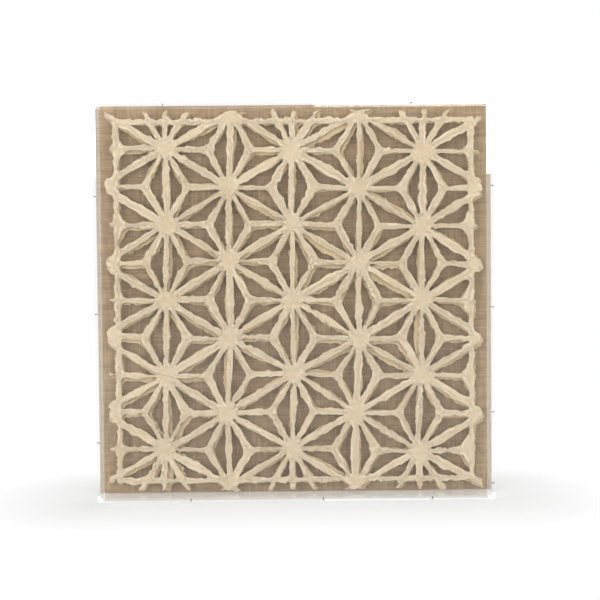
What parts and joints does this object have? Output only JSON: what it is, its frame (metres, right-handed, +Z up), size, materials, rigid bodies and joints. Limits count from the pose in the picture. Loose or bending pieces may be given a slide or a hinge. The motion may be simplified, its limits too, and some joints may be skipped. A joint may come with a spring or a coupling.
{
  "type": "framed layered paper art",
  "caption": "Square clear acrylic box frame with layered cut paper in a hemp-leaf star lattice, floated over a linen-wrapped panel.",
  "frame": {"origin": "on the underside of the box, halfway across its width and halfway along its depth", "axes": "+X to the right seen from the front, the front pane faces -Y, +Z up"},
  "size_m": [0.6, 0.0636, 0.6],
  "materials": {
    "acrylic": "clear polished sheet",
    "linen": "plain weave",
    "paper": "handmade, fibrous",
    "board": "raw fibreboard",
    "pine": "planed",
    "foam": "closed-cell foam",
    "steel": "bright wire"
  },
  "bodies": {
    "root": {"front_pane": "acrylic", "wall_top": "acrylic", "wall_bottom": "acrylic", "wall_left": "acrylic", "wall_right": "acrylic", "wall_brads": "steel", "linen_cover": "linen", "backing_board": "board", "rail_top": "pine", "rail_bottom": "pine", "rail_left": "pine", "rail_right": "pine", "paper_front_sheet": "paper", "paper_rear_sheet": "paper", "front_pads": "foam", "rear_pads": "foam"}
  },
  "joints": []
}
